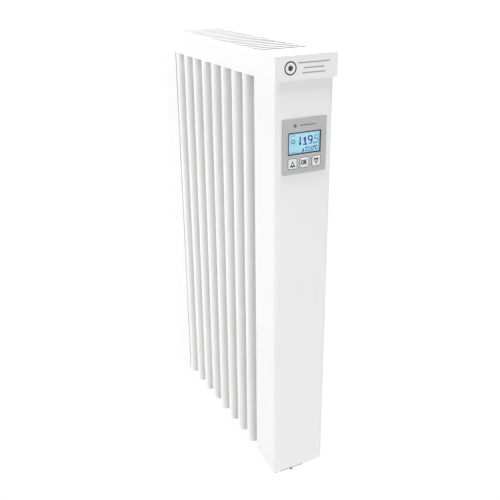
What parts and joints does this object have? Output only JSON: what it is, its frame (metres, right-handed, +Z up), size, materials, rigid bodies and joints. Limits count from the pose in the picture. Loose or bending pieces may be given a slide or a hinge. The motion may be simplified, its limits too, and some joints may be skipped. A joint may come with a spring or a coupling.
{
  "type": "wall mounted oil filled radiator heater",
  "caption": "Slim wall-hung electric radiator: oil filled ribbed sections between side covers, slotted top cover, push-button display panel and hook-on wall rails.",
  "frame": {"origin": "centre of the four wall bolt holes, on the wall plane", "axes": "+Z up along the radiator's height, -Y out from the wall towards the ribbed front, +X towards the control end"},
  "size_m": [0.3732, 0.1056, 0.609],
  "materials": {
    "casing_white": "fine satin powder coat",
    "section_white": "white powder coat on extruded aluminium",
    "bare_aluminium": "mill finish",
    "brass": "machined",
    "galvanised_steel": "zinc plated",
    "rod_steel": "heat darkened",
    "lead_insulation": "silicone sleeve",
    "black_plastic": "moulded",
    "grey_plastic": "moulded",
    "bezel_grey": "fine moulded grain",
    "lens_clear": "clear",
    "lcd_blue": "lit from behind",
    "board_green": "solder mask",
    "button_white": "satin",
    "relay_blue": "moulded",
    "terminal_green": "moulded",
    "ribbon_grey": "flat cable",
    "rubber_black": "matte"
  },
  "bodies": {
    "radiator": {"section_1": "section_white", "section_2": "section_white", "section_3": "section_white", "section_4": "section_white", "section_5": "section_white", "section_6": "section_white", "section_7": "section_white", "section_8": "section_white", "top_header": "bare_aluminium", "bottom_header": "bare_aluminium", "header_plugs": "galvanised_steel", "fill_plug": "brass", "heater_plug": "brass", "heater_rod": "rod_steel", "heater_terminals": "brass", "heater_leads": "lead_insulation", "core_brackets": "galvanised_steel", "thermal_cutout": "black_plastic", "heat_shield": "section_white", "rear_panel": "casing_white", "control_cover": "casing_white", "far_cover": "casing_white", "top_cover": "casing_white", "control_base": "grey_plastic", "far_base": "casing_white", "control_housing": "grey_plastic", "control_bezel": "bezel_grey", "display_lens": "lens_clear", "display_module": "lcd_blue", "control_board": "board_green", "key_switches": "black_plastic", "power_board": "board_green", "board_standoffs": "galvanised_steel", "power_relay": "relay_blue", "heat_sink": "bare_aluminium", "terminal_block": "terminal_green", "ribbon_cable": "ribbon_grey", "room_sensor": "black_plastic", "gland_body": "grey_plastic", "gland_nut": "black_plastic", "cap_screws": "galvanised_steel", "cover_screws": "galvanised_steel", "wall_rail_left": "galvanised_steel", "wall_rail_right": "galvanised_steel", "wall_bumpers": "rubber_black"},
    "button_up": {"button_up": "button_white"},
    "button_ok": {"button_ok": "button_white"},
    "button_down": {"button_down": "button_white"},
    "lock_cam_left": {"lock_cam_left": "brass"},
    "lock_cam_right": {"lock_cam_right": "brass"}
  },
  "joints": [
    {"name": "button_up_press", "type": "slide", "parent": "radiator", "child": "button_up", "axis": [-1, 0, 0], "range_m": [0, 0.0008], "stiffness_N_per_m": 400, "springref_m": -0.002},
    {"name": "button_ok_press", "type": "slide", "parent": "radiator", "child": "button_ok", "axis": [-1, 0, 0], "range_m": [0, 0.0008], "stiffness_N_per_m": 400, "springref_m": -0.002},
    {"name": "button_down_press", "type": "slide", "parent": "radiator", "child": "button_down", "axis": [-1, 0, 0], "range_m": [0, 0.0008], "stiffness_N_per_m": 400, "springref_m": -0.002},
    {"name": "lock_cam_left_turn", "type": "hinge", "parent": "radiator", "child": "lock_cam_left", "pos_m": [-0.09, -0.0179, 0.1985], "axis": [0, 1, 0], "range_deg": [-95, 95]},
    {"name": "lock_cam_right_turn", "type": "hinge", "parent": "radiator", "child": "lock_cam_right", "pos_m": [0.09, -0.0179, 0.1985], "axis": [0, 1, 0], "range_deg": [-95, 95]}
  ]
}
